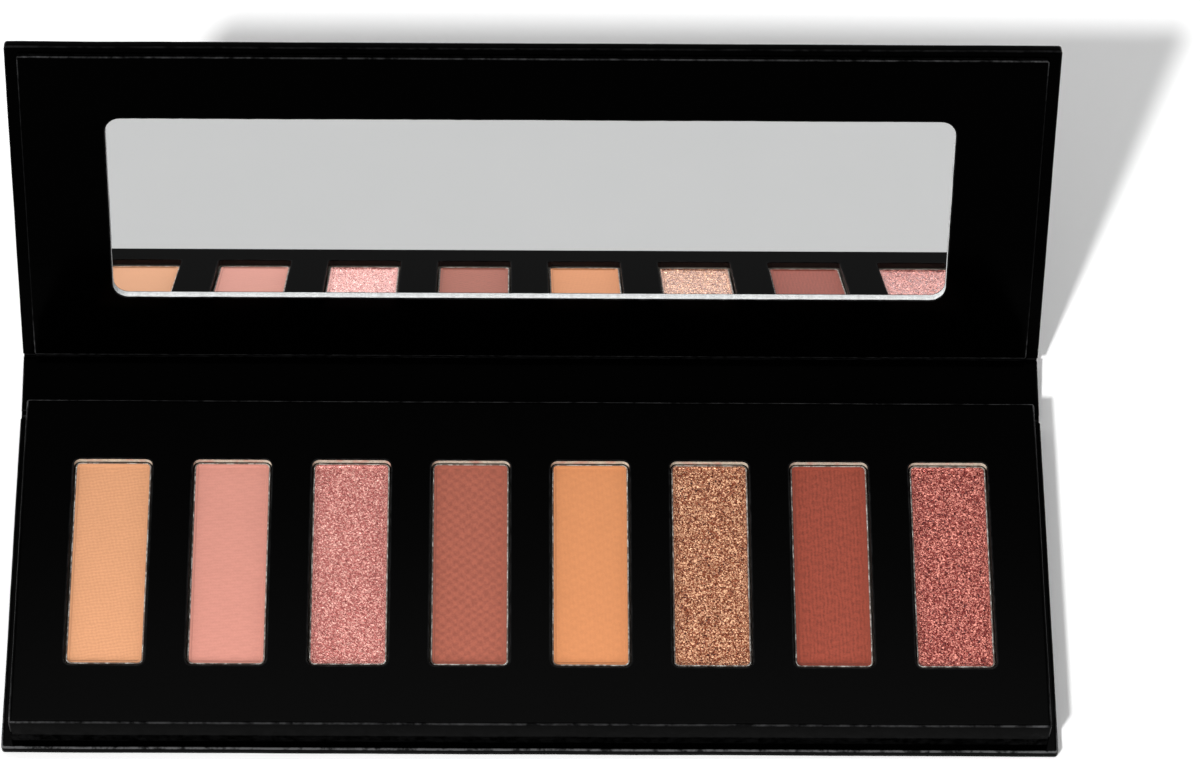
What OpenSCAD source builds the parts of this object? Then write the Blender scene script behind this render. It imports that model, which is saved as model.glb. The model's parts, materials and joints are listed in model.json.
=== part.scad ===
// Book-style eyeshadow palette: a base cover that carries a tray of eight pressed powders,
// a spine panel, and a lid cover with a framed mirror. Paper folds join the three panels.
// X runs along the palette, +Y points to the back, +Z up. The origin is at the centre of the
// underside of the base, on the plane that the palette stands on. All sizes are in millimetres.

/* [Covers] */
// Width of the palette
cover_w = 200; // [196:1:230]
// Depth of the base and of the lid, from the front edge to the fold
cover_d = 73.3; // [72.5:0.1:90]
// Thickness of the greyboard in the base and the lid
board_t = 1.8; // [1.6:0.1:2.4]
// Thickness of the greyboard in the spine
spine_board_t = 0.9; // [0.6:0.1:1]
// Thickness of the black covering paper
paper_t = 0.2; // [0.12:0.01:0.24]
// Width of the paper that is turned in over the inner faces
turn_in = 12; // [8:0.5:12]
// Bare paper between a fold and the board of the base or the lid
fold_gap = 1.8; // [1.8:0.1:3]
// Side margin of the lining paper and the mirror frame
lining_margin = 2.4; // [1.5:0.1:5]

/* [Pose] */
// Angle of the spine above the table
spine_angle = 8; // [0:1:90]
// Angle of the lid above the table, leaning back
lid_angle = 66.1; // [30:0.1:98]

/* [Tray] */
// Height of the tray block above the base cover
tray_h = 7.6; // [7.2:0.1:12]
// Ledge of the cover at each side of the tray
tray_side = 1.9; // [1:0.1:3]
// Ledge of the cover in front of the tray
tray_front = 1.6; // [1:0.1:3]
// Distance from the fold to the rear wall of the tray
tray_rear = 1.7; // [1.7:0.1:4]
// Thickness of the card with the windows, without its paper
top_card_t = 1; // [0.6:0.1:1.4]
// Thickness of the board under the pans
floor_board_t = 1.9; // [1:0.1:2]

/* [Pans] */
// Width of a pan
pan_w = 14.7; // [12:0.1:15]
// Length of a pan
pan_l = 43.6; // [30:0.1:45]
// Distance between the centres of neighbouring pans
pan_pitch = 23.06; // [22:0.01:23.2]
// Distance from the front edge of the cover to the middle of the pans
pan_row = 36.5; // [36:0.05:38]
// Thickness of the pan metal
pan_t = 0.3; // [0.2:0.05:0.5]
// Depth of the pan rims below the top of the tray
pan_drop = 1.3; // [1.3:0.05:2]
// Corner radius of a pan
pan_r = 1.1; // [0.8:0.1:3]
// Gap between a pan and its window at each long side
side_gap = 0.3; // [0.1:0.05:0.6]
// Gap between a pan and its window at the rear end
rear_gap = 0.1; // [0.1:0.05:0.8]
// Gap between a pan and its window at the front end
front_gap = 0.8; // [0.1:0.05:0.8]

/* [Mirror] */
// Width of the mirror window
mirror_w = 162.3; // [120:0.1:166]
// Height of the mirror window
mirror_h = 41.5; // [30:0.1:41.5]
// Distance from the top edge of the lid to the window
mirror_top = 15.5; // [15:0.1:16]
// Distance of the mirror and its window to the left of the middle
mirror_shift = 0.35; // [-1:0.05:1]
// Corner radius of the mirror window
mirror_r = 3; // [1:0.1:8]
// Part of the mirror that is hidden under the frame
mirror_lap = 3; // [1:0.5:3]
// Thickness of the mirror glass
glass_t = 1.2; // [0.8:0.1:1.2]
// Thickness of the frame card, without its paper
frame_card_t = 0.8; // [0.5:0.1:1.2]
// Distance from the top edge of the lid to the frame
frame_top = 1.65; // [1:0.05:4]
// Distance from the fold to the frame
frame_fold = 2.3; // [2.2:0.1:4]

/* [Magnets] */
// Diameter of a magnet
magnet_d = 8; // [5:0.5:8]
// Distance of each magnet from the middle of the palette
magnet_x = 70; // [20:1:80]
// Distance from the front edge of a cover to the magnet centres
magnet_row = 6.8; // [6.5:0.1:7]

/* [Hidden] */
$fn = 48;
SHADES = [["peach", "#e3a77c"], ["dusty_pink", "#dc9488"], ["pink_shimmer", "#cf7c7c"],
          ["mauve_brown", "#a95e52"], ["apricot", "#e09a64"], ["copper_glitter", "#b97b4c"],
          ["brick_red", "#9c483c"], ["rose_glitter", "#bd5f58"]];
PAN_COUNT = len(SHADES);
BASE_NODES = ["base_board", "base_wrap", "base_lining", "tray_floor_board", "tray_core",
              "tray_top_card", "tray_wrap", "pan_glue_dots", "tray_magnets"];
SPINE_NODES = ["spine_board", "spine_wrap", "spine_lining"];
LID_NODES = ["lid_board", "lid_wrap", "lid_lining", "lid_magnets", "mirror_tape",
             "mirror_backing", "mirror_glass", "mirror_frame_card", "mirror_frame_wrap"];

INK = "#17171a";
LINING_INK = "#1f1f23";
GREYBOARD = "#a39a8b";
cover_t = board_t + 2 * paper_t;
axis_h = paper_t / 2;
fold_y = cover_d / 2;
fold_clear = 0.03;
lining_start = 0.4;
lining_reach = 12;
spine_gap = 0.8;
closed_gap = 0.2;
frame_t = frame_card_t + paper_t;
spine_l = 2 * cover_t + tray_h + closed_gap + frame_t - paper_t;
spine_t = spine_board_t + 3 * paper_t;

tray_w = cover_w - 2 * tray_side;
tray_a1 = cover_d - tray_front;
tray_top = cover_t + tray_h;
card_top = tray_top - paper_t;
card_under = card_top - top_card_t;
floor_top = cover_t + floor_board_t;
window_w = pan_w + 2 * side_gap;
window_l = pan_l + rear_gap + front_gap;
window_r = pan_r + side_gap;
pocket_gap = 0.9;
pan_a = cover_d - pan_row;
window_a = pan_a + (front_gap - rear_gap) / 2;
glue_t = 0.2;
glue_d = 6;
pan_bottom = floor_top + glue_t;
pan_rim = tray_top - pan_drop;
cake_shoulder = pan_rim - 0.4;
cake_top = pan_rim - 0.15;
cake_bevel = 0.5;
magnet_t = 1.2;
magnet_a = cover_d - magnet_row;

mirror_a = cover_d - mirror_top - mirror_h / 2;
tape_t = 0.1;
backing_t = 0.1;
mirror_bed = cover_t - glass_t - backing_t - tape_t;
frame_a1 = cover_d - frame_top;
frame_w = cover_w - 2 * lining_margin;

function pan_x(i) = (i - (PAN_COUNT + 1) / 2) * pan_pitch;
function pan_name(i) = str("pan_", i);
function shade_name(i) = str("shadow_", i, "_", SHADES[i - 1][0]);

// The three panels share one local frame: the fold at y = 0, the panel along +Y, and its
// outer face at z = 0 with the inner face above. The base is drawn towards the front.
module on_base() {
    translate([0, fold_y, 0]) mirror([0, 1, 0]) children();
}
module on_spine() {
    translate([0, fold_y, axis_h]) rotate([spine_angle, 0, 0]) translate([0, 0, -axis_h]) children();
}
module on_lid() {
    translate([0, fold_y, axis_h]) rotate([spine_angle, 0, 0]) translate([0, spine_l, 0])
        rotate([lid_angle - spine_angle, 0, 0]) translate([0, 0, -axis_h]) children();
}

// A slab centred on x = 0, between two distances from the fold and two heights
module slab(w, a0, a1, z0, z1) {
    translate([-w / 2, a0, z0]) cube([w, a1 - a0, z1 - z0]);
}
// An outline with round corners, centred on the origin
module round_outline(w, l, r) {
    square([w - 2 * r, l], center = true);
    square([w, l - 2 * r], center = true);
    for (sx = [-1, 1], sy = [-1, 1])
        translate([sx * (w / 2 - r), sy * (l / 2 - r)]) circle(r);
}
module round_block(w, l, r, z0, z1) {
    translate([0, 0, z0]) linear_extrude(z1 - z0) round_outline(w, l, r);
}
module at_pan(i) {
    translate([pan_x(i), pan_a, 0]) children();
}
module at_pans() {
    for (i = [1 : PAN_COUNT]) at_pan(i) children();
}
// The eight windows, as blocks to cut away. They sit a little in front of the pans.
module windows(z0, z1) {
    for (i = [1 : PAN_COUNT])
        translate([pan_x(i), window_a, 0]) round_block(window_w, window_l, window_r, z0, z1);
}
module at_mirror() {
    translate([-mirror_shift, mirror_a, 0]) children();
}
module magnet_discs(z0, z1) {
    for (s = [-1, 1])
        translate([s * magnet_x, magnet_a, z0]) cylinder(h = z1 - z0, d = magnet_d);
}

// Cover parts that the base and the lid share
module cover_board() {
    slab(cover_w - 2 * paper_t, fold_gap, cover_d - paper_t, paper_t, cover_t - paper_t);
}
// The paper wraps the front and side edges and is turned in over the inner face. Its rear
// edge ends in a bead on the fold axis.
module cover_wrap() {
    difference() {
        slab(cover_w, fold_gap, cover_d, 0, cover_t);
        slab(cover_w - 2 * paper_t, fold_gap - 1, cover_d - paper_t, paper_t, cover_t - paper_t);
        slab(cover_w - 2 * turn_in, fold_gap - 1, cover_d - turn_in, paper_t, cover_t + 1);
    }
    slab(cover_w, 0, fold_gap, 0, paper_t);
    translate([0, 0, axis_h]) rotate([0, 90, 0]) cylinder(h = cover_w, r = axis_h, center = true);
}
// Lining paper: down the rear edge of the board and onto the bare paper of the fold
module cover_lining() {
    lining_w = cover_w - 2 * lining_margin;
    slab(lining_w, lining_start, fold_gap, paper_t, 2 * paper_t);
    slab(lining_w, fold_gap - paper_t, fold_gap, paper_t, cover_t);
    slab(cover_w - 2 * turn_in, fold_gap - paper_t, lining_reach, cover_t - paper_t, cover_t);
}

// Base
module base_board() {
    color(GREYBOARD) on_base() cover_board();
}
module base_wrap() {
    color(INK) on_base() cover_wrap();
}
module base_lining() {
    color(LINING_INK) on_base() cover_lining();
}

// Tray
module tray_slab(inset, z0, z1) {
    slab(tray_w - 2 * inset, tray_rear + inset, tray_a1 - inset, z0, z1);
}
module tray_floor_board() {
    color(GREYBOARD) on_base() tray_slab(paper_t, cover_t, floor_top);
}
module tray_core() {
    color("#8c8478") on_base() difference() {
        tray_slab(paper_t, floor_top, card_under);
        at_pans() round_block(pan_w + 2 * pocket_gap, pan_l + 2 * pocket_gap, pan_r + pocket_gap,
                              floor_top - 1, card_under + 1);
        magnet_discs(card_under - magnet_t, card_under + 1);
    }
}
module tray_top_card() {
    color("#cfc8ba") on_base() difference() {
        tray_slab(paper_t, card_under, card_top);
        windows(card_under - 1, card_top + 1);
    }
}
module tray_wrap() {
    color(INK) on_base() difference() {
        tray_slab(0, cover_t, tray_top);
        tray_slab(paper_t, cover_t - 1, card_top);
        windows(card_top - 1, tray_top + 1);
    }
}
module tray_magnets() {
    color("silver") on_base() magnet_discs(card_under - magnet_t, card_under);
}
module pan_glue_dots() {
    color("#e8e2c8") on_base() at_pans()
        for (s = [-1, 1]) translate([0, s * pan_l / 4, floor_top]) cylinder(h = glue_t, d = glue_d);
}

// Pans and powders
module pan(i) {
    color("#c9c9c6") on_base() at_pan(i) difference() {
        round_block(pan_w, pan_l, pan_r, pan_bottom, pan_rim);
        round_block(pan_w - 2 * pan_t, pan_l - 2 * pan_t, pan_r - pan_t,
                    pan_bottom + pan_t, pan_rim + 1);
    }
}
module powder_cake(i) {
    cake_w = pan_w - 2 * pan_t;
    cake_l = pan_l - 2 * pan_t;
    color(SHADES[i - 1][1]) on_base() at_pan(i) {
        round_block(cake_w, cake_l, pan_r - pan_t, pan_bottom + pan_t, cake_shoulder);
        round_block(cake_w - 2 * cake_bevel, cake_l - 2 * cake_bevel, pan_r - pan_t,
                    cake_shoulder, cake_top);
    }
}

// Spine
module spine_board() {
    color(GREYBOARD) on_spine()
        slab(cover_w - 2 * paper_t, spine_gap, spine_l - spine_gap, paper_t, paper_t + spine_board_t);
}
module spine_wrap() {
    wrap_top = spine_board_t + 2 * paper_t;
    sheet_start = axis_h + fold_clear;
    color(INK) on_spine() {
        slab(cover_w, sheet_start, spine_l - sheet_start, 0, paper_t);
        difference() {
            slab(cover_w, spine_gap, spine_l - spine_gap, 0, wrap_top);
            slab(cover_w - 2 * paper_t, 0, spine_l, paper_t, wrap_top - paper_t);
            slab(cover_w - 2 * turn_in, 0, spine_l, paper_t, wrap_top + 1);
        }
    }
}
module spine_lining() {
    lining_w = cover_w - 2 * lining_margin;
    color(LINING_INK) on_spine() difference() {
        union() {
            slab(lining_w, lining_start, spine_l - lining_start, paper_t, 2 * paper_t);
            slab(lining_w, spine_gap - paper_t, spine_l - spine_gap + paper_t, paper_t, spine_t);
        }
        slab(cover_w, spine_gap, spine_l - spine_gap, 0, spine_t - paper_t);
    }
}

// Lid
module mirror_block(z0, z1) {
    at_mirror() round_block(mirror_w + 2 * mirror_lap, mirror_h + 2 * mirror_lap, mirror_r, z0, z1);
}
module lid_board() {
    color(GREYBOARD) on_lid() difference() {
        cover_board();
        mirror_block(mirror_bed, cover_t + 1);
        magnet_discs(cover_t - paper_t - magnet_t, cover_t);
    }
}
module lid_wrap() {
    color(INK) on_lid() cover_wrap();
}
module lid_lining() {
    color(LINING_INK) on_lid() cover_lining();
}
module lid_magnets() {
    color("silver") on_lid() magnet_discs(cover_t - paper_t - magnet_t, cover_t - paper_t);
}
module mirror_tape() {
    color("#e9e9e2") on_lid() mirror_block(mirror_bed, mirror_bed + tape_t);
}
module mirror_backing() {
    color("#6f7478") on_lid() mirror_block(mirror_bed + tape_t, mirror_bed + tape_t + backing_t);
}
module mirror_glass() {
    color("#cfd6da") on_lid() mirror_block(cover_t - glass_t, cover_t);
}
module mirror_frame_card() {
    color("#cfc8ba") on_lid() difference() {
        slab(frame_w - 2 * paper_t, frame_fold + paper_t, frame_a1 - paper_t,
             cover_t, cover_t + frame_card_t);
        at_mirror() round_block(mirror_w, mirror_h, mirror_r, 0, 2 * cover_t);
    }
}
module mirror_frame_wrap() {
    color(INK) on_lid() difference() {
        slab(frame_w, frame_fold, frame_a1, cover_t, cover_t + frame_t);
        slab(frame_w - 2 * paper_t, frame_fold + paper_t, frame_a1 - paper_t,
             0, cover_t + frame_card_t);
        at_mirror() round_block(mirror_w, mirror_h, mirror_r, 0, 2 * cover_t);
    }
}

base_board();
base_wrap();
base_lining();
tray_floor_board();
tray_core();
tray_top_card();
tray_wrap();
tray_magnets();
pan_glue_dots();
for (i = [1 : PAN_COUNT]) {
    pan(i);
    powder_cake(i);
}
spine_board();
spine_wrap();
spine_lining();
lid_board();
lid_wrap();
lid_lining();
lid_magnets();
mirror_tape();
mirror_backing();
mirror_glass();
mirror_frame_card();
mirror_frame_wrap();
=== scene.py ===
import json
import math
import random

import bmesh
import bpy
from mathutils import Matrix, Vector, noise
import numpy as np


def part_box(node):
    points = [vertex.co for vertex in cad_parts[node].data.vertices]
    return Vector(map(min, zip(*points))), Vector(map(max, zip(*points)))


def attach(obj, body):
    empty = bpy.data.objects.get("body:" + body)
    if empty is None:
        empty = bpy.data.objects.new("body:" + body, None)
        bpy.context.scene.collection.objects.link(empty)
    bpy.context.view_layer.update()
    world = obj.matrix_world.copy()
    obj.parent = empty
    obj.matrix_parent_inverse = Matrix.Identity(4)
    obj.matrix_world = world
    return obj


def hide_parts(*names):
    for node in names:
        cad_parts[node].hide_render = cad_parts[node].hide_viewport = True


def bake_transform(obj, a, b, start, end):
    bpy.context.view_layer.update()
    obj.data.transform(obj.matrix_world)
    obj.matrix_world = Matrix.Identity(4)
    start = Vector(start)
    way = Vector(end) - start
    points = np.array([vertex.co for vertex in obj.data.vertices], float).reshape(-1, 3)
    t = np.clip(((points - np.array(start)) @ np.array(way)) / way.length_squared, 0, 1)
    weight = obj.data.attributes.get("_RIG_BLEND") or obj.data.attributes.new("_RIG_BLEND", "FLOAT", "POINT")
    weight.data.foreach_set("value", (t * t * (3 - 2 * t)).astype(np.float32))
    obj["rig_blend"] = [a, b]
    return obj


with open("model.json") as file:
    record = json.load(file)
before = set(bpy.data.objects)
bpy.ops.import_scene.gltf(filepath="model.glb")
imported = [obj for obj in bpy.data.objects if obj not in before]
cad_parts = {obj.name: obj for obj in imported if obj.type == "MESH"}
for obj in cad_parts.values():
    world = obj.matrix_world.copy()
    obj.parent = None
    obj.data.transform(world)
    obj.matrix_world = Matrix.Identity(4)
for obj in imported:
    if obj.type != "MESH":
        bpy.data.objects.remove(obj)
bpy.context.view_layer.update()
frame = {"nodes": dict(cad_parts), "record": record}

MM = 0.001
NOISE_SEED = 7              # Blender's vector noise differs from run to run unless it is seeded
noise.seed_set(NOISE_SEED)

# ---------------------------------------------------------------- driving values
# Paper and edges
EDGE_R = 0.38 * MM          # rounding of a board edge under its paper
FRAME_EDGE_R = 0.3 * MM     # rounding of the thin frame round the mirror
CORNER_R = 0.7 * MM         # plan radius of a cover's front corners
TRAY_CORNER_R = 0.5 * MM    # plan radius of the tray's corners
WOBBLE = 0.05 * MM          # unevenness of glued paper along its edges
RAG = 0.045 * MM            # raggedness of paper cut round a window
EDGE_STEP = 2.5 * MM        # spacing of the points along a straight edge
WINDOW_STEP = 0.5 * MM      # spacing of the points round a window
SUPPORT = 0.35 * MM         # flat rim between a rounded edge and the open face
MIRROR_STEP = 1.5 * MM      # spacing of the points round the mirror and along the spine's ends
ARC_STEPS = 5               # segments of a rounded edge
CORNER_STEPS = 6            # segments of a round corner
SIDE_POINTS = 28            # points along each side of a cover
FRONT_STEPS = 80            # segments across a cover's front edge, and across a fold
FOLD_STEPS = 8              # segments of the bend at a fold
LEAST_R = 0.08 * MM         # smallest corner radius, so that no two points coincide
WELD = 1e-7                 # points closer than this become one
TURN_IN = 12 * MM           # paper turned in over the inner side of a board
PAPER_GAP = 0.05 * MM       # between a panel's paper and the paper beside it
LIFT = 0.02 * MM            # of a lining above the paper under it
FLANK_R = 0.25 * MM         # rounding of a lining at a board's edge
WINDOW_R = 1.4 * MM         # corner radius of a pan's window
MIRROR_R = 3 * MM           # corner radius of the mirror's window
FOLD_ZONE = 0.45 * MM       # half of the length of paper that bends at a fold
# The lighter colour along edges, corners and folds is partly rubbed wear and partly a painted highlight where
# the rounded paper catches the key light.
WORN_AND_LIT, CLEAN = 0.42, 0.0     # wear and painted highlight of an ordinary edge, and of none
SIDE_WEAR_AND_LIGHT = 0.12            # wear and painted highlight of the side edges against that of the front and rear edges
CORNER_WEAR_AND_LIGHT = 2.2           # extra wear and painted highlight at a corner
CORNER_WEAR_AND_LIGHT_REACH = 3.5 * MM
FOLD_WEAR_AND_LIGHT = 0.15            # wear and painted highlight in the middle of a fold
LINING_WEAR_AND_LIGHT = 0.2           # wear and painted highlight of a lining's rounded edge

# Pans
PAN_WALL = 0.3 * MM
RIM_R = 0.11 * MM           # rounding of the pan's rim
RIM_WOBBLE = 0.05 * MM
CAKE_R = 0.8 * MM           # corner radius of a pressed cake
CAKE_MARGIN = 0.60 * MM     # width of the loose powder round the pressed face
CAKE_SINK = 0.20 * MM       # depth of the pressed face below the margin's top
FLAKE = 0.31 * MM           # spacing of the glitter flakes
FLAKE_TILT = 0.055 * MM     # height differences between neighbouring flakes
FLAKE_DRIFT = 0.36          # sideways shift of a flake's corners, as a share of their spacing
MARGIN_POINTS = 9           # points across a powder's margin
CAKE_DROP = 0.09 * MM       # how far the powder's own level lies below the CAD block's top

# Camera, at the photograph's viewing angle
FOCAL_WIDTHS = 4.2219       # focal length as a multiple of the picture's width
SENSOR = 36.0
CAM_ELEVATION = math.radians(60.02)
CAM_YAW = math.radians(0.05)
CAM_ROLL = math.radians(0.30)
CAM_DISTANCE = 1000.6 * MM
CAM_TARGET = Vector((-4.60, 45.48, 0.0)) * MM
CAM_SHIFT_X = 0.0775

# Light
SUN_TRAVEL = Vector((0.52, 0.745, -1.0))
SUN_SIZE = math.radians(5.0)
SUN_POWER = 3.0
DOME = 0.58                 # radiance of the studio all round
FRONT_SHADE = 0.15          # part of it that comes from low in front, the photographer's side
PANEL_GLOW = 6.5            # radiance of a soft panel high behind the palette
PANEL_AT, PANEL_SIZE = math.radians(66.5), math.radians(4.9)
FILL_POWER = 0.37           # watts of a low lamp in front, which lights the powders alone
FILL_PLACE = Vector((0, -105, 75)) * MM
FILL_AIM = Vector((0, 10, 8)) * MM
FILL_WIDTH, FILL_HEIGHT = 500 * MM, 40 * MM
# The floor turns from white to grey in front of the object: painted shade, which the mirror reflects.
FLOOR_WHITE, FLOOR_SHADE_GREY = 0.9, 0.48
FLOOR_START = 2 * MM        # where the painted shade on the floor begins, in front of the object
FLOOR_FADE = 40 * MM        # distance over which it does
FLOOR_HALF = 6.0            # half of the floor's side
FLOOR_DROP = 0.05 * MM      # the floor lies just under the palette

LINEN = "linen"
FLAKES = "flakes"
SHADES = {
    "peach": dict(kind=LINEN, base=(0.447, 0.211, 0.107), print=0.1,
                  threads=[(0.21, -1.47, 1.0), (1.36, 0.3, 0.5)]),
    "dusty_pink": dict(kind=LINEN, base=(0.414, 0.173, 0.135), print=0.065,
                       threads=[(0.25, 0.53, 0.5), (-0.25, 0.53, 0.5), (0.12, -1.5, 0.8)]),
    "pink_shimmer": dict(kind=FLAKES, base=(0.369, 0.0983, 0.0871), light=(0.895, 0.468, 0.398), dark=0.50),
    "mauve_brown": dict(kind=LINEN, base=(0.229, 0.0637, 0.0405), print=0.19,
                        threads=[(0.42, 0.51, 1.0), (-0.42, 0.51, 1.0), (1.3, 0.4, 0.3)]),
    "apricot": dict(kind=LINEN, base=(0.417, 0.162, 0.0646), print=0.06,
                    threads=[(0.3, 0.53, 0.6), (-0.3, 0.53, 0.6), (1.2, 0.1, 0.5)]),
    "copper_glitter": dict(kind=FLAKES, base=(0.198, 0.0365, 0.00785), light=(0.904, 0.509, 0.297),
                           dark=0.12),
    "brick_red": dict(kind=LINEN, base=(0.181, 0.034, 0.019), print=0.27,
                      threads=[(1.45, 0.0, 0.9), (1.04, 0.1, 0.6), (0.2, 0.53, 0.5), (-0.2, 0.53, 0.5)]),
    "rose_glitter": dict(kind=FLAKES, base=(0.188, 0.0169, 0.0133), light=(0.894, 0.33, 0.257), dark=0.14),
}


# ---------------------------------------------------------------- frame geometry
def joint(name):
    return next(j for j in frame["record"]["behaviour"]["joints"] if j["name"] == name)


REAR_FOLD, LID_FOLD = [Vector(joint(name)["pos_m"]) for name in ("spine_fold", "lid_fold")]
SPINE_LEN = (LID_FOLD - REAR_FOLD).length
SPINE_ANGLE = math.radians(-joint("spine_fold")["range_deg"][0])
LID_ANGLE = SPINE_ANGLE + math.radians(-joint("lid_fold")["range_deg"][0])
AXIS_H = REAR_FOLD.z        # a fold axis lies in the middle of the outer paper
PAPER = 2 * AXIS_H


def panel_place(fold, angle):
    """A panel's own directions: x, distance from its fold, and height above its outer face."""
    return Matrix.Translation(fold) @ Matrix.Rotation(angle, 4, "X") @ Matrix.Translation((0, 0, -AXIS_H))


BASE = Matrix.Translation((0, REAR_FOLD.y, 0)) @ Matrix.Rotation(math.pi, 4, "Z")
SPINE = panel_place(REAR_FOLD, SPINE_ANGLE)
LID = panel_place(LID_FOLD, LID_ANGLE)


def local_box(node_name, place):
    """A node's lowest and highest corner, measured in a panel's own directions."""
    inverse = place.inverted()
    points = [inverse @ v.co for v in frame["nodes"][node_name].data.vertices]
    return [Vector([pick(p[k] for p in points) for k in range(3)]) for pick in (min, max)]


HALF_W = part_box("base_wrap")[1][0]
COVER_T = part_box("base_wrap")[1][2]
COVER_D = local_box("base_wrap", BASE)[1].y
BOARD_START = local_box("base_board", BASE)[0].y
SPINE_START = local_box("spine_board", SPINE)[0].y
SPINE_WRAP_T = local_box("spine_wrap", SPINE)[1].z
SPINE_TOP = local_box("spine_lining", SPINE)[1].z
LINING_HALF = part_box("spine_lining")[1][0]
PAN_NODES = sorted((n for n in frame["nodes"] if n[:4] == "pan_" and n[4:].isdigit()),
                   key=lambda n: int(n[4:]))
CAKE_NODES = sorted(n for n in frame["nodes"] if n.startswith("shadow_"))


# ---------------------------------------------------------------- mesh helpers
def make_piece(mesh, name, body, material, smooth_angle=40):
    """Puts a mesh in the scene and lets it ride on a body."""
    for poly in mesh.polygons:
        poly.use_smooth = smooth_angle > 0
    if smooth_angle > 0:
        mesh.set_sharp_from_angle(angle=math.radians(smooth_angle))
    mesh.materials.append(material)
    obj = bpy.data.objects.new(name, mesh)
    bpy.context.scene.collection.objects.link(obj)
    if body:
        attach(obj, body)
    return obj


def weld(bm):
    """Joins points that coincide and removes the faces that this leaves without area."""
    bmesh.ops.remove_doubles(bm, verts=bm.verts, dist=WELD)
    bmesh.ops.dissolve_degenerate(bm, edges=bm.edges, dist=WELD)


def finish_mesh(bm, name, body, material):
    """Turns a bmesh into a piece."""
    weld(bm)
    bmesh.ops.recalc_face_normals(bm, faces=bm.faces)
    mesh = bpy.data.meshes.new(name)
    bm.to_mesh(mesh)
    bm.free()
    return make_piece(mesh, name, body, material)


def thicken(bm, depth):
    """Gives a skin its thickness on the side away from its normals."""
    weld(bm)
    bmesh.ops.solidify(bm, geom=bm.faces[:], thickness=depth)


def spaced(a, b, step):
    """Points from a up to but without b, at about one step apart."""
    count = max(1, math.ceil((b - a).length / step))
    return [a.lerp(b, k / count) for k in range(count)]


def arc(center, r, start):
    """A quarter circle, from a start angle in degrees."""
    angles = [math.radians(start + 90 * k / CORNER_STEPS) for k in range(CORNER_STEPS + 1)]
    return [center + Vector((math.cos(a), math.sin(a))) * r for a in angles]


class Outline:
    """A rectangle with round corners, from which rings of equal point count are taken."""

    def __init__(self, low, high, radius, step=EDGE_STEP):
        self.low, self.high, self.radius = low.to_2d(), high.to_2d(), radius
        self.step = step

    def counts(self):
        size = self.high - self.low
        return [max(1, math.ceil(length / self.step)) for length in (size.x, size.y)] * 2

    def ring(self, inset):
        low, high = self.low + Vector((inset, inset)), self.high - Vector((inset, inset))
        r = max(self.radius - inset, LEAST_R)
        centers = [(high.x - r, high.y - r), (low.x + r, high.y - r),
                   (low.x + r, low.y + r), (high.x - r, low.y + r)]
        arcs = [arc(Vector(c), r, 90 * k) for k, c in enumerate(centers)]
        points = []
        for k, count in enumerate(self.counts()):
            start, end = arcs[k][-1], arcs[(k + 1) % 4][0]
            points += arcs[k] + [start.lerp(end, j / count) for j in range(1, count)]
        return points


class Border:
    """The sides and front of a cover, as a path that is open at the fold."""

    def __init__(self, half_w, start, end, radius):
        self.half_w, self.start, self.end, self.radius = half_w, start, end, radius

    def path(self, inset):
        x, y = self.half_w - inset, self.end - inset
        r = max(self.radius - inset, LEAST_R)
        length = self.end - self.radius - self.start
        side = [min(self.start + length * k / SIDE_POINTS, y - r) for k in range(SIDE_POINTS)]
        ends = Vector((x - r, y)), Vector((r - x, y))
        front = [ends[0].lerp(ends[1], k / FRONT_STEPS) for k in range(1, FRONT_STEPS)]
        right = [Vector((x, a)) for a in side] + arc(Vector((x - r, y - r)), r, 0)
        left = arc(Vector((r - x, y - r)), r, 90) + [Vector((-x, a)) for a in reversed(side)]
        return right + front + left


def add_points(bm, points, z, wear_and_edge_light):
    """A ring of points at one height, with their wear and painted edge highlight."""
    layer = bm.verts.layers.float.get("wear_and_edge_light") or bm.verts.layers.float.new("wear_and_edge_light")
    verts = [bm.verts.new((p.x, p.y, z)) for p in points]
    for v in verts:
        v[layer] = wear_and_edge_light
    return verts


def join(bm, a, b, closed=True):
    count = len(a)
    for k in range(count if closed else count - 1):
        bm.faces.new((a[k], a[(k + 1) % count], b[(k + 1) % count], b[k]))


def loop_edges(bm, verts):
    edges = []
    for k, v in enumerate(verts):
        w = verts[(k + 1) % len(verts)]
        edges.append(bm.edges.get((v, w)) or bm.edges.new((v, w)))
    return edges


def fill(bm, loops):
    """Fills between an outer loop and any holes.

    Blender's fill joins points closer than 0.03 mm, so it works on a model a thousand times larger.
    """
    verts = [v for loop in loops for v in loop]
    edges = [e for loop in loops for e in loop_edges(bm, loop)]
    bmesh.ops.scale(bm, vec=(1000, 1000, 1000), verts=verts)
    bmesh.ops.triangle_fill(bm, use_beauty=True, use_dissolve=False, edges=edges)
    bmesh.ops.scale(bm, vec=(0.001, 0.001, 0.001), verts=verts)


def loft(bm, shape, profile):
    """Rings of points along a profile of (inset, height, wear)."""
    return [add_points(bm, shape(inset), z, wear_and_edge_light) for inset, z, wear_and_edge_light in profile]


def edge_arc(z_flat, z_side, r, wear_and_edge_light=WORN_AND_LIT):
    """Profile round an edge, from the flat face at z_flat to the side wall towards z_side."""
    sign = 1 if z_side > z_flat else -1
    profile = [(r + SUPPORT, z_flat, CLEAN)]
    for k in range(ARC_STEPS + 1):
        t = math.pi / 2 * k / ARC_STEPS
        profile.append((r - r * math.sin(t), z_flat + sign * (r - r * math.cos(t)), wear_and_edge_light * math.sin(2 * t)))
    return profile


def uneven(co, amount):
    """A smooth, wavy offset: long bends of the paper and short wrinkles."""
    return (noise.noise_vector(co * 70) + 0.45 * noise.noise_vector(co * 330)) * amount


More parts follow.
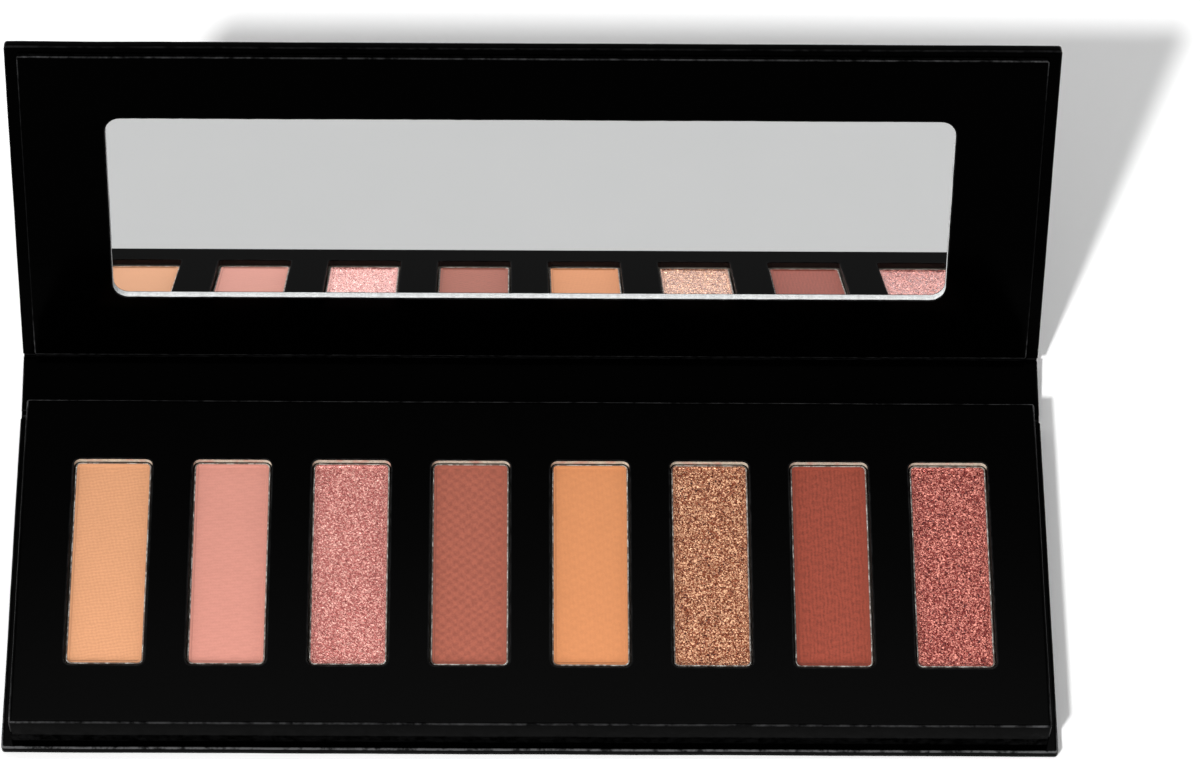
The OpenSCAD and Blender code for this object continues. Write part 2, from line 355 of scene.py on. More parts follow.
def roughen(bm, amount, place, flat_at=None):
    """Bends the points of a panel's piece; those at one height move only sideways."""
    turn = place.to_3x3().inverted()
    for v in bm.verts:
        offset = turn @ uneven(place @ v.co, amount)
        if flat_at is not None and abs(v.co.z - flat_at) < 0.25 * MM:
            offset.z = 0
        v.co += offset


def wear_and_light_corners(bm, corners):
    """Less wear and painted highlight along the sides, more near the given corners, where paper gets rubbed.
    """
    layer = bm.verts.layers.float["wear_and_edge_light"]
    for v in bm.verts:
        nearest = min((v.co.to_2d() - c).length for c in corners)
        side = SIDE_WEAR_AND_LIGHT if min(abs(v.co.x - c.x) for c in corners) < 1 * MM else 1.0
        v[layer] *= side + CORNER_WEAR_AND_LIGHT * math.exp(-nearest / CORNER_WEAR_AND_LIGHT_REACH)


# ---------------------------------------------------------------- material helpers
def new_material(name):
    mat = bpy.data.materials.new(name)
    mat.use_nodes = True
    tree = mat.node_tree
    tree.nodes.clear()
    out = tree.nodes.new("ShaderNodeOutputMaterial")
    bsdf = tree.nodes.new("ShaderNodeBsdfPrincipled")
    tree.links.new(bsdf.outputs["BSDF"], out.inputs["Surface"])
    return mat, tree, bsdf


def set_input(tree, socket, value):
    if isinstance(value, bpy.types.NodeSocket):
        tree.links.new(value, socket)
    elif isinstance(value, (tuple, list)) and socket.type == "RGBA" and len(value) == 3:
        socket.default_value = (*value, 1)
    else:
        socket.default_value = value


def node(tree, kind, inputs=(), **props):
    """Adds a node, sets its properties, and sets or links its inputs."""
    n = tree.nodes.new(kind)
    for key, value in props.items():
        setattr(n, key, value)
    for key, value in dict(inputs).items():
        set_input(tree, n.inputs[key], value)
    return n


def shade(tree, bsdf, **values):
    """Sets the shader's inputs, whose names are given with underscores."""
    for key, value in values.items():
        set_input(tree, bsdf.inputs[key.replace("_", " ")], value)


def coords(tree):
    return node(tree, "ShaderNodeTexCoord").outputs["Object"]


def mapped(tree, vector, scale=(1, 1, 1), turn=0.0):
    inputs = {"Vector": vector, "Scale": scale, "Rotation": (0, 0, math.radians(turn))}
    return node(tree, "ShaderNodeMapping", inputs).outputs["Vector"]


def noise_of(tree, vector, size, detail=3, roughness=0.5):
    """Noise with features of about the given size in metres."""
    inputs = {"Vector": vector, "Scale": 1 / size, "Detail": detail, "Roughness": roughness}
    return node(tree, "ShaderNodeTexNoise", inputs).outputs["Fac"]


def ramp(tree, value, stops, easing="LINEAR"):
    """A colour ramp; a stop's value is a grey or a colour."""
    n = node(tree, "ShaderNodeValToRGB", {"Fac": value})
    n.color_ramp.interpolation = easing
    elements = n.color_ramp.elements
    while len(elements) < len(stops):
        elements.new(0.5)
    for element, (position, color) in zip(elements, stops):
        element.position = position
        element.color = (*color, 1) if isinstance(color, (tuple, list)) else (color, color, color, 1)
    return n.outputs["Color"]


def mix(tree, factor, a, b):
    n = node(tree, "ShaderNodeMix", data_type="RGBA")
    for index, value in ((0, factor), (6, a), (7, b)):
        set_input(tree, n.inputs[index], value)
    return n.outputs[2]


def maths(tree, operation, a, b=0.0, c=0.0):
    return node(tree, "ShaderNodeMath", {0: a, 1: b, 2: c}, operation=operation).outputs[0]


def bump(tree, height, strength, distance, normal=None):
    inputs = {"Height": height, "Strength": strength, "Distance": distance}
    if normal is not None:
        inputs["Normal"] = normal
    return node(tree, "ShaderNodeBump", inputs).outputs["Normal"]


def attribute(tree, name):
    return node(tree, "ShaderNodeAttribute", attribute_name=name).outputs["Fac"]


def times(color, factor, lift=0.0):
    return tuple(min(1.0, c * factor + lift) for c in color)


# ---------------------------------------------------------------- materials
def paper_material(name, ink, worn_and_lit, fibre_size):
    """Black laminated paper: fine fibre grain, faint mottling, and edges lighter, partly rubbed and partly a
    painted highlight.
    """
    mat, tree, bsdf = new_material(name)
    at = coords(tree)
    fibre = noise_of(tree, at, fibre_size, detail=4, roughness=0.6)
    mottle = noise_of(tree, at, 14 * MM)
    crease = noise_of(tree, at, 1.7 * MM, detail=4, roughness=0.65)
    patches = ramp(tree, crease, [(0.38, 0.1), (0.62, 1.0)])
    # Painted highlight and wear: the edge mark, broken into patches, lightens the paper towards the lighter
    # edge colour.
    rubbed_and_lit = maths(tree, "MULTIPLY", attribute(tree, "wear_and_edge_light"), patches)
    grain = mix(tree, ramp(tree, fibre, [(0.4, 0.0), (0.75, 0.6)]), ink, times(ink, 2.2))
    body = mix(tree, mottle, times(ink, 0.8), grain)
    shade(tree, bsdf, Base_Color=mix(tree, rubbed_and_lit, body, worn_and_lit),
          Roughness=maths(tree, "MULTIPLY_ADD", fibre, 0.05, 0.09), Specular_IOR_Level=0.009)
    waves = bump(tree, crease, 0.06, 0.02 * MM)
    shade(tree, bsdf, Normal=bump(tree, fibre, 0.06, 0.006 * MM, waves))
    return mat


def board_material(name, color, dark, smear_and_shade_tint=None):
    """Greyboard or card seen on a cut edge: pulp layers, fibres, and powder rubbed into it.

    With a smear colour it is the tray's card: bare card on the walls that face the front, painted near-black
    shade on the other walls.
    """
    mat, tree, bsdf = new_material(name)
    at = coords(tree)
    pulp = noise_of(tree, at, 0.3 * MM, detail=5, roughness=0.7)
    layers = noise_of(tree, mapped(tree, at, (1, 1, 8)), 1.2 * MM)
    streaks = ramp(tree, maths(tree, "MULTIPLY", pulp, layers), [(0.14, 0.0), (0.36, 1.0)])
    mixed = mix(tree, streaks, dark, color)
    if smear_and_shade_tint:
        patch = ramp(tree, noise_of(tree, at, 2.4 * MM, detail=4), [(0.50, 0.0), (0.66, 0.75)])
        mixed = mix(tree, patch, mixed, smear_and_shade_tint)
        # Painted shade: walls that do not face the front get a near-black tint of the smear colour.
        normal = node(tree, "ShaderNodeNewGeometry").outputs["Normal"]
        facing = node(tree, "ShaderNodeSeparateXYZ", {"Vector": normal})
        faces_front = ramp(tree, maths(tree, "MULTIPLY", facing.outputs["Y"], -1.0), [(0.2, 0.0), (0.6, 1.0)])
        mixed = mix(tree, faces_front, times(smear_and_shade_tint, 0.03), mixed)
    shade(tree, bsdf, Base_Color=mixed, Roughness=0.85, Specular_IOR_Level=0.2,
          Normal=bump(tree, pulp, 0.6, 0.08 * MM))
    return mat


def metal_material(name, color, roughness, streak=(1, 1, 1), dusty=0.0):
    """Thin sheet metal with fine streaks, duller patches and, where asked, powder that clings to it."""
    mat, tree, bsdf = new_material(name)
    at = coords(tree)
    streaks = noise_of(tree, mapped(tree, at, streak), 0.5 * MM, detail=4)
    stains = noise_of(tree, at, 2.5 * MM)
    clean = mix(tree, stains, times(color, 0.82), color)
    clumps = noise_of(tree, at, 1.1 * MM, detail=4, roughness=0.6)
    dust = ramp(tree, clumps, [(0.5 - 0.12 * dusty, 0.0), (0.54, dusty)])
    shade(tree, bsdf, Base_Color=mix(tree, dust, clean, (0.10, 0.065, 0.05)),
          Metallic=maths(tree, "SUBTRACT", 1.0, dust),
          Roughness=maths(tree, "MULTIPLY_ADD", streaks, 0.25, roughness),
          Normal=bump(tree, streaks, 0.3, 0.02 * MM))
    return mat


def mirror_material():
    """A silvered glass sheet with the faintest haze."""
    mat, tree, bsdf = new_material("mirror_silver")
    haze = noise_of(tree, coords(tree), 14 * MM)
    shade(tree, bsdf, Base_Color=mix(tree, haze, (0.885, 0.895, 0.895), (0.915, 0.92, 0.92)),
          Metallic=1.0, Roughness=0.0)
    return mat


def plain_material(name, color, roughness, size, specular):
    """A matt or waxy coat with slight tone changes and a soft unevenness."""
    mat, tree, bsdf = new_material(name)
    tone = noise_of(tree, coords(tree), size)
    shade(tree, bsdf, Base_Color=mix(tree, tone, times(color, 0.82), color), Roughness=roughness,
          Specular_IOR_Level=specular, Normal=bump(tree, tone, 0.3, 0.05 * MM))
    return mat


def linen_height(tree, at, threads):
    """The print of a woven pressing cloth. A thread is (cycles per mm along x and y, weight)."""
    drift = noise_of(tree, at, 2.2 * MM, detail=2)
    axes = node(tree, "ShaderNodeSeparateXYZ", {"Vector": at})
    total = sum(weight for _, _, weight in threads)
    height = 0.5
    for kx, ky, weight in threads:
        along_x = maths(tree, "MULTIPLY_ADD", axes.outputs["X"], 2 * math.pi * kx / MM,
                        maths(tree, "MULTIPLY", drift, 7.0))
        phase = maths(tree, "MULTIPLY_ADD", axes.outputs["Y"], 2 * math.pi * ky / MM, along_x)
        height = maths(tree, "MULTIPLY_ADD", maths(tree, "SINE", phase), 0.5 * weight / total, height)
    slubs = noise_of(tree, at, 0.38 * MM, detail=2)
    return maths(tree, "MULTIPLY_ADD", maths(tree, "SUBTRACT", slubs, 0.5), 1.6, height)


def linen_powder(name, base, threads, contrast):
    """Matt pressed powder with the print of a cloth, a soft, dusty grain, and painted shade and highlight
    round its margin.
    """
    mat, tree, bsdf = new_material(name)
    at = coords(tree)
    weave = linen_height(tree, at, threads)
    grain = noise_of(tree, at, 0.13 * MM, detail=3, roughness=0.75)
    cloud = noise_of(tree, at, 4 * MM, detail=4)
    low, high = times(base, 1 - 0.95 * contrast), times(base, 1 + 0.95 * contrast)
    printed = mix(tree, weave, low, high)
    # Painted shade and highlight round the cake: a darker band over the margin and a lighter line at its
    # outer edge.
    margin = attribute(tree, "wear_and_edge_light")
    pressed_with_edge_light = mix(tree, ramp(tree, margin, [(0.0, 0.0), (0.15, 0.9)]), printed, times(base, 0.88))
    pressed_with_edge_light = mix(tree, ramp(tree, margin, [(0.5, 0.0), (0.8, 0.8)]), pressed_with_edge_light, times(base, 1.12, 0.003))
    clouded = mix(tree, ramp(tree, cloud, [(0.3, 0.0), (0.7, 0.12)]), pressed_with_edge_light, times(base, 0.7))
    dusty = mix(tree, ramp(tree, grain, [(0.5, 0.0), (0.85, 0.5)]), clouded, times(base, 1.3, 0.01))
    shade(tree, bsdf, Base_Color=dusty, Roughness=0.9, Specular_IOR_Level=0.12, Sheen_Weight=0.06,
          Sheen_Roughness=0.6)
    relief = bump(tree, weave, 0.4, contrast * 0.09 * MM)
    shade(tree, bsdf, Normal=bump(tree, grain, 0.3, 0.03 * MM, relief))
    return mat


def flake_powder(name, base, light, dark):
    """Pressed pearl or glitter: every flake of the mesh has its own tone and lustre."""
    mat, tree, bsdf = new_material(name)
    at = coords(tree)
    flake = attribute(tree, "flake")
    fine = node(tree, "ShaderNodeTexVoronoi", {"Vector": at, "Scale": 1 / (0.2 * MM)})
    speck = node(tree, "ShaderNodeSeparateColor", {"Color": fine.outputs["Color"]})
    tone = maths(tree, "MULTIPLY_ADD", speck.outputs["Red"], 0.45, maths(tree, "MULTIPLY", flake, 0.6))
    tones = [(0.12, times(base, dark)), (0.5, base), (0.8, times(light, 0.6)), (0.98, light)]
    lustre = ramp(tree, speck.outputs["Green"], [(0.3, 0.1), (0.8, 0.75)])
    shade(tree, bsdf, Base_Color=ramp(tree, tone, tones), Metallic=lustre,
          Roughness=maths(tree, "MULTIPLY_ADD", speck.outputs["Blue"], 0.25, 0.28), Specular_IOR_Level=0.5,
          Normal=bump(tree, fine.outputs["Distance"], 0.35, 0.05 * MM))
    return mat


INK = (0.00012, 0.00012, 0.00012)
MATERIALS = {
    "black_paper": paper_material("black_paper", INK, (0.080, 0.080, 0.082), 0.16 * MM),
    "lining_paper": paper_material("lining_paper", INK, (0.060, 0.060, 0.062), 0.22 * MM),
    "greyboard": board_material("greyboard", (0.36, 0.33, 0.28), (0.22, 0.20, 0.17)),
    "card_core": board_material("card_core", (0.78, 0.70, 0.57), (0.40, 0.35, 0.28), (0.55, 0.27, 0.21)),
    "white_core": board_material("white_core", (0.72, 0.73, 0.73), (0.48, 0.48, 0.48)),
    "pan_metal": metal_material("pan_metal", (0.66, 0.64, 0.60), 0.3, dusty=0.95),
    "magnet": metal_material("magnet_plating", (0.75, 0.75, 0.76), 0.12, (1, 6, 1)),
    "mirror": mirror_material(),
    "tape": plain_material("white_tape", (0.80, 0.80, 0.78), 0.7, 1 * MM, 0.3),
    "mirror_paint": plain_material("mirror_paint", (0.25, 0.27, 0.29), 0.6, 2 * MM, 0.3),
    "glue": plain_material("hot_glue", (0.75, 0.70, 0.55), 0.35, 1.5 * MM, 0.5),
}


def powder_material(name):
    spec = SHADES[name]
    if spec["kind"] == LINEN:
        return linen_powder("powder_" + name, spec["base"], spec["threads"], spec["print"])
    return flake_powder("powder_" + name, spec["base"], spec["light"], spec["dark"])


# ---------------------------------------------------------------- covers, folds and linings
def add_piece(bm, name, body, place, slot, replaces=(), wobble=WOBBLE, flat_at=None):
    """Finishes a paper piece, which rides on a body if one is given."""
    roughen(bm, wobble, place, flat_at)
    bm.transform(place)
    piece = finish_mesh(bm, name, body, MATERIALS[slot])
    if replaces:
        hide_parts(*replaces)
    return piece


def wrap_profile(top, wear_and_edge_light):
    """From the outer face round the edge to the end of the turned-in margin."""
    over = list(reversed(edge_arc(top, 0, EDGE_R, wear_and_edge_light)))
    return edge_arc(0, top, EDGE_R, wear_and_edge_light) + over + [(TURN_IN, top, CLEAN)]


def cover_paper(name, body, place, node_name, wear_and_edge_light):
    """The black paper of the base or the lid: outer face, rounded edges, turned-in margins."""
    border = Border(HALF_W, BOARD_START - PAPER_GAP, COVER_D, CORNER_R)
    bm = bmesh.new()
    rows = loft(bm, border.path, wrap_profile(COVER_T, wear_and_edge_light))
    for a, b in zip(rows, rows[1:]):
        join(bm, a, b, closed=False)
    fill(bm, [rows[0]])
    wear_and_light_corners(bm, [Vector((s * HALF_W, COVER_D)) for s in (-1, 1)])
    bmesh.ops.recalc_face_normals(bm, faces=bm.faces)
    thicken(bm, PAPER)
    return add_piece(bm, name, body, place, "black_paper", [node_name], flat_at=0)


def spine_paper():
    """The outer paper of the spine, turned in over both ends of its board."""
    start, end = SPINE_START - PAPER_GAP, SPINE_LEN - SPINE_START + PAPER_GAP
    line = spaced(Vector((0, start)), Vector((0, end)), MIRROR_STEP) + [Vector((0, end))]
    profile = wrap_profile(SPINE_WRAP_T, SIDE_WEAR_AND_LIGHT)
    rows = []
    bm = bmesh.new()
    for side in (-1, 1):
        strip = loft(bm, lambda inset: [Vector((side * (HALF_W - inset), p.y)) for p in line], profile)
        for a, b in zip(strip, strip[1:]):
            join(bm, a, b, closed=False)
        rows.append(strip[0])
    join(bm, rows[0], rows[1], closed=False)
    bmesh.ops.recalc_face_normals(bm, faces=bm.faces)
    thicken(bm, PAPER)
    return add_piece(bm, "spine_cover_paper", "spine", SPINE, "black_paper", ["spine_wrap"])


def sweep_across(bm, start, end, section, depth):
    """A sheet that runs across the palette: a section of (distance, height, wear) along x."""
    count = max(3, round((end - start) / EDGE_STEP))
    xs = [start + (end - start) * k / count for k in range(count + 1)]
    layer = bm.verts.layers.float.get("wear_and_edge_light") or bm.verts.layers.float.new("wear_and_edge_light")
    rows = []
    for x in xs:
        row = [bm.verts.new((x, a, z)) for a, z, _ in section]
        for v, (_, _, wear_and_edge_light) in zip(row, section):
            v[layer] = wear_and_edge_light
        rows.append(row)
    for a, b in zip(rows, rows[1:]):
        join(bm, a, b, closed=False)
    bmesh.ops.recalc_face_normals(bm, faces=bm.faces)
    if sum(f.normal.z for f in bm.faces) < 0:
        bmesh.ops.reverse_faces(bm, faces=bm.faces)
    thicken(bm, depth)


def flank(foot, wall, top):
    """A lining's section from the groove up a board's edge and onto its face."""
    r, low = FLANK_R, 2 * PAPER
    rise = [(foot, low, CLEAN), (wall - 0.08 * MM, low, CLEAN), (wall, low + 0.08 * MM, CLEAN)]
    for k in range(ARC_STEPS + 1):
        t = math.pi / 2 * k / ARC_STEPS
        rise.append((wall + r - r * math.cos(t), top - r + r * math.sin(t), LINING_WEAR_AND_LIGHT * math.sin(2 * t)))
    return rise + [(wall + r + SUPPORT, top, CLEAN)]


def cover_lining(name, body, place, node_name):
    """Lining on the base or the lid: up the rear edge of the board and on under the tray or frame."""
    wall = BOARD_START - PAPER
    section = flank(FOLD_ZONE, wall, COVER_T + LIFT) + [(TURN_IN, COVER_T - 0.5 * LIFT, CLEAN)]
    bm = bmesh.new()
    sweep_across(bm, -LINING_HALF, LINING_HALF, section, PAPER)
    return add_piece(bm, name, body, place, "lining_paper", [node_name], wobble=0.6 * WOBBLE)


def tucked_corners(name, body, place, ends, wall, top):
    """Black paper tucked round a board's ends beside the lining, where the board would show."""
    for mirrored in ends:
        for side in (-1, 1):
            section = flank(wall - 0.5 * MM, wall, top) + [(wall + 2 * MM, top, CLEAN)]
            if mirrored:
                section = [(SPINE_LEN - a, z, wear_and_edge_light) for a, z, wear_and_edge_light in reversed(section)]
            x0, x1 = sorted((side * (LINING_HALF + PAPER_GAP), side * (HALF_W - 0.15 * MM)))
            bm = bmesh.new()
            sweep_across(bm, x0, x1, section, 0.7 * PAPER)
            label = "%s_corner_%s%s" % (name, "left" if side < 0 else "right", "_rear" if mirrored else "")
            add_piece(bm, label, body, place, "black_paper", wobble=0.5 * WOBBLE)


def spine_lining():
    """Lining on the spine, from the groove of one fold to that of the other."""
    wall = SPINE_START - PAPER
    near = flank(FOLD_ZONE, wall, SPINE_TOP)
    far = [(SPINE_LEN - a, z, wear_and_edge_light) for a, z, wear_and_edge_light in reversed(near)]
    middle = [(near[-1][0] + (far[0][0] - near[-1][0]) * k / 6, SPINE_TOP, CLEAN) for k in range(1, 6)]
    bm = bmesh.new()
    sweep_across(bm, -LINING_HALF, LINING_HALF, near + middle + far, PAPER)
    return add_piece(bm, "spine_lining_paper", "spine", SPINE, "lining_paper", ["spine_lining"],
                     wobble=0.6 * WOBBLE)


def bent(fold, before, after, distance, height):
    """A point of a sheet that bends from one panel's angle to the next, at a distance past the fold."""
    turn = after - before
    r = FOLD_ZONE / math.tan(turn / 2)
    c, s = math.cos(turn), math.sin(turn)
    lift = height - AXIS_H
    if distance <= -FOLD_ZONE:
        y, z = distance, lift
    elif distance >= FOLD_ZONE:
        y, z = distance * c - lift * s, distance * s + lift * c
    else:
        t = turn * (distance + FOLD_ZONE) / (2 * FOLD_ZONE)
        y, z = -FOLD_ZONE + (r - lift) * math.sin(t), r - (r - lift) * math.cos(t)
    flat = Matrix.Translation(fold) @ Matrix.Rotation(before, 4, "X")
    return flat @ Vector((0, y, z))


def fold_sheet(name, slot, bodies, fold, angles, reach, heights, half_w):
    """Paper across a fold. It is rigid with each panel beyond the fold zone and bends inside it."""
    inside = [FOLD_ZONE * (2 * k / FOLD_STEPS - 1) for k in range(FOLD_STEPS + 1)]
    stations = [-reach[0]] + inside + [reach[1]]
    xs = [-half_w + 2 * half_w * k / FRONT_STEPS for k in range(FRONT_STEPS + 1)]
    bm = bmesh.new()
    layer = bm.verts.layers.float.new("wear_and_edge_light")
    skins = []
    for height in heights:
        line = [bent(fold, *angles, s, height) for s in stations]
        grid = [[bm.verts.new((x, p.y, p.z)) for p in line] for x in xs]
        for row in grid:
            for v, s in zip(row, stations):
                v[layer] = FOLD_WEAR_AND_LIGHT * max(0, 1 - abs(s) / FOLD_ZONE)
        for a, b in zip(grid, grid[1:]):
            join(bm, a, b, closed=False)
        skins.append(grid)
    low, high = skins
    rims = [([r[0] for r in low], [r[0] for r in high]), ([r[-1] for r in low], [r[-1] for r in high]),
            (low[0], high[0]), (low[-1], high[-1])]
    for a, b in rims:
        join(bm, a, b, closed=False)
    piece = add_piece(bm, name, None, Matrix.Identity(4), slot, wobble=0.6 * WOBBLE)
    ends = [bent(fold, *angles, s, 0.5 * sum(heights)) for s in (-FOLD_ZONE, FOLD_ZONE)]
    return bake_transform(piece, *bodies, start=ends[0], end=ends[1])


def build_folds():
    """The outer paper and the lining at both folds."""
    board, spine = BOARD_START - PAPER_GAP, SPINE_START - PAPER_GAP
    folds = {
        "rear": dict(bodies=("base", "spine"), fold=REAR_FOLD, angles=(0, SPINE_ANGLE), reach=(board, spine)),
        "lid": dict(bodies=("spine", "lid"), fold=LID_FOLD, angles=(SPINE_ANGLE, LID_ANGLE),
                    reach=(spine, board)),
    }
    for key, fold in folds.items():
        fold_sheet(key + "_fold_paper", "black_paper", heights=(0, PAPER), half_w=HALF_W, **fold)
        fold_sheet(key + "_fold_lining", "lining_paper", heights=(PAPER, 2 * PAPER),
                   half_w=LINING_HALF, **fold)


# ---------------------------------------------------------------- tray and mirror frame
def framed_paper(name, node_name, body, place, holes, r):
    """Paper over a raised block: its walls, and its top with the windows cut through."""
    low, high = local_box(node_name, place)
    outline = Outline(low, high, TRAY_CORNER_R)
    top, foot = high.z, COVER_T - 0.1 * MM
    bm = bmesh.new()
    rag = bm.verts.layers.float.new("rag")
    walls = [(0.0, foot, 0.04)] + list(reversed(edge_arc(top, foot, r)))
    outer = loft(bm, outline.ring, walls)
    under = loft(bm, outline.ring, [(PAPER, foot, CLEAN), (PAPER, top - PAPER, CLEAN)])
    for rows in (outer, under, [outer[0], under[0]]):
        for a, b in zip(rows, rows[1:]):
            join(bm, a, b)
    upper, lower = [outer[-1]], [under[-1]]
    lip = 0.05 * MM
    # The window's lip carries the edge mark of wear and painted highlight.
    mouth = ((-SUPPORT, top, CLEAN), (-lip, top, 0.15), (0.0, top - lip, 0.2), (0.0, top - PAPER, CLEAN))
    for hole in holes:
        rows = loft(bm, hole.ring, mouth)
        for a, b in zip(rows, rows[1:]):
            join(bm, a, b)
        for v in [v for row in rows[1:] for v in row]:
            v[rag] = 1.0
        upper.append(rows[0])
        lower.append(rows[-1])
    fill(bm, upper)
    fill(bm, lower)
    corners = [Vector((x, y)) for x in (low.x, high.x) for y in (low.y, high.y)]
    wear_and_light_corners(bm, corners)
    for v in bm.verts:
        v.co.xy += noise.noise_vector(v.co * 1500).xy * RAG * v[rag]
    return add_piece(bm, name, body, place, "black_paper", [node_name], flat_at=top)


def card_holes(node_name, place):
    """The windows of a card, found as the inner loops of its upper face."""
    mesh = frame["nodes"][node_name].data
    inverse = place.inverted()
    low, high = local_box(node_name, place)
    flat = [inverse @ v.co for v in mesh.vertices]
    at_top = [abs(p.z - high.z) < 0.01 * MM for p in flat]
    count = {}
    for poly in mesh.polygons:
        if all(at_top[i] for i in poly.vertices):
            for edge in poly.edge_keys:
                count[edge] = count.get(edge, 0) + 1
    ends = {}
    for a, b in [edge for edge, uses in count.items() if uses == 1]:
        key_a, key_b = [tuple(round(c / (0.001 * MM)) for c in flat[i].to_2d()) for i in (a, b)]
        ends.setdefault(key_a, []).append(key_b)
        ends.setdefault(key_b, []).append(key_a)
    boxes = []
    while ends:
        group, queue = [], [next(iter(ends))]
        while queue:
            key = queue.pop()
            if key in ends:
                queue += ends.pop(key)
                group.append(Vector(key) * 0.001 * MM)
        boxes.append([Vector([pick(p[k] for p in group) for k in (0, 1)]) for pick in (min, max)])
    inner = [b for b in boxes if b[0].x > low.x + 1 * MM and b[1].x < high.x - 1 * MM]
    return sorted(inner, key=lambda b: b[0].x)


def hole_outlines(node_name, place, radius, step):
    return [Outline(low, high, radius, step) for low, high in card_holes(node_name, place)]


# ---------------------------------------------------------------- pans and powders
def build_pan(node_name, number):
    """A thin metal pan with a rolled rim that is a little uneven."""
    low, high = [Vector(corner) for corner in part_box(node_name)]
    outline = Outline(low, high, CAKE_R + PAN_WALL, 1.0 * MM)
    floor, rim = low.z, high.z
    soft = 0.03 * MM
    profile = [(0.5 * MM, floor, 0), (0.12 * MM, floor + 0.12 * MM, 0), (0, floor + 0.5 * MM, 0),
               (0, rim - RIM_R, 0), (soft, rim - soft, 0), (RIM_R, rim, 0), (PAN_WALL - RIM_R, rim, 0),
               (PAN_WALL - soft, rim - soft, 0), (PAN_WALL, rim - RIM_R, 0),
               (PAN_WALL, floor + 0.6 * MM, 0), (0.7 * MM, floor + PAN_WALL, 0)]
    bm = bmesh.new()
    rows = loft(bm, outline.ring, profile)
    for a, b in zip(rows, rows[1:]):
        join(bm, a, b)
    bm.faces.new(rows[0])
    bm.faces.new(rows[-1])
    shift = Vector((number, 0, 0))
    for v in bm.verts:
        if v.co.z > rim - 0.6 * MM:
            v.co += noise.noise_vector(v.co * 420 + shift) * RIM_WOBBLE
    piece = finish_mesh(bm, "pan_%d_tin" % number, "base", MATERIALS["pan_metal"])
    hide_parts(node_name)


def rounded_place(x, y, width, length, r):
    """Moves a point of a rectangle's grid so that the rectangle's corners become round."""
    sx, sy = (-1 if x < width / 2 else 1), (-1 if y < length / 2 else 1)
    a = (abs(x - width / 2) - (width / 2 - r)) / r
    b = (abs(y - length / 2) - (length / 2 - r)) / r
    if a > 0 and b > 0:
        x = width / 2 + sx * (width / 2 - r + r * a * math.sqrt(1 - b * b / 2))
        y = length / 2 + sy * (length / 2 - r + r * b * math.sqrt(1 - a * a / 2))
    return x, y


def border_distance(x, y, width, length, r):
    """Distance of a point inside a rounded rectangle from its outline."""
    a, b = width / 2 - abs(x - width / 2), length / 2 - abs(y - length / 2)
    if a < r and b < r:
        return r - math.hypot(r - a, r - b)
    return min(a, b)


def grid_line(length, fine, coarse):
    """Places along one side of a cake: close together in the margins."""
    edge = [fine * k for k in range(MARGIN_POINTS)]
    inner = length - 2 * fine * MARGIN_POINTS
    count = round(inner / coarse)
    middle = [fine * MARGIN_POINTS + inner * k / count for k in range(count + 1)]
    return edge + middle + [length - e for e in reversed(edge)]


def cake_height(place, distance, grain, level):
    """The loose margin stands higher than the pressed face and is crumbly."""
    margin = max(0.0, 1 - distance / CAKE_MARGIN)
    step = min(1.0, 1.8 * margin)
    crumb = noise.noise(place * 3200) * 0.035 * MM * min(1, 2.5 * margin)
    swell = noise.noise(place * 160) * 0.02 * MM
    return level + CAKE_SINK * step * step * (3 - 2 * step) + crumb + swell + grain


def build_cake(node_name, number):
    """A pressed powder block with a printed or glittering face."""
    name = node_name.split("_", 2)[2]
    flaky = SHADES[name]["kind"] == FLAKES
    low, high = [Vector(corner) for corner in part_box(node_name)]
    width, length = high.x - low.x, high.y - low.y
    rng = random.Random(number)
    fine, coarse = (0.11 * MM, FLAKE) if flaky else (0.09 * MM, 0.45 * MM)
    xs, ys = grid_line(width, fine, coarse), grid_line(length, fine, coarse)
    level = high.z - CAKE_DROP
    verts, margins = [], []
    for j, y0 in enumerate(ys):
        for i, x0 in enumerate(xs):
            rim = i in (0, len(xs) - 1) or j in (0, len(ys) - 1)
            x, y = rounded_place(x0, y0, width, length, CAKE_R)
            distance = border_distance(x, y, width, length, CAKE_R)
            grain = 0.0
            if flaky and not rim:
                tilt = min(1.0, distance / CAKE_MARGIN)
                grain = rng.uniform(-1, 1) * FLAKE_TILT * tilt
                x += rng.uniform(-FLAKE_DRIFT, FLAKE_DRIFT) * coarse * tilt
                y += rng.uniform(-FLAKE_DRIFT, FLAKE_DRIFT) * coarse * tilt
            place = Vector((low.x + x, low.y + y, 0))
            verts.append((place.x, place.y, cake_height(place, distance, grain, level)))
            margins.append(max(0.0, 1 - distance / CAKE_MARGIN))
    faces = cake_faces(len(xs), len(ys), rng if flaky else None)
    border = border_loop(len(xs), len(ys))
    base = len(verts)
    verts += [(verts[k][0], verts[k][1], low.z) for k in border]
    margins += [0.0] * len(border)
    count = len(border)
    faces += [(base + k, base + (k + 1) % count, border[(k + 1) % count], border[k]) for k in range(count)]
    faces.append(tuple(base + k for k in reversed(range(count))))
    mesh = bpy.data.meshes.new("powder_%d_%s" % (number, name))
    mesh.from_pydata(verts, [], faces)
    # The margin measure, which the linen powder material turns into painted shade and highlight near the
    # border.
    mesh.attributes.new("wear_and_edge_light", "FLOAT", "POINT").data.foreach_set("value", margins)
    if flaky:
        tones = [rng.random() for _ in faces]
        mesh.attributes.new("flake", "FLOAT", "FACE").data.foreach_set("value", tones)
    piece = make_piece(mesh, mesh.name, "base", powder_material(name), 0 if flaky else 50)
    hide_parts(node_name)
    return piece


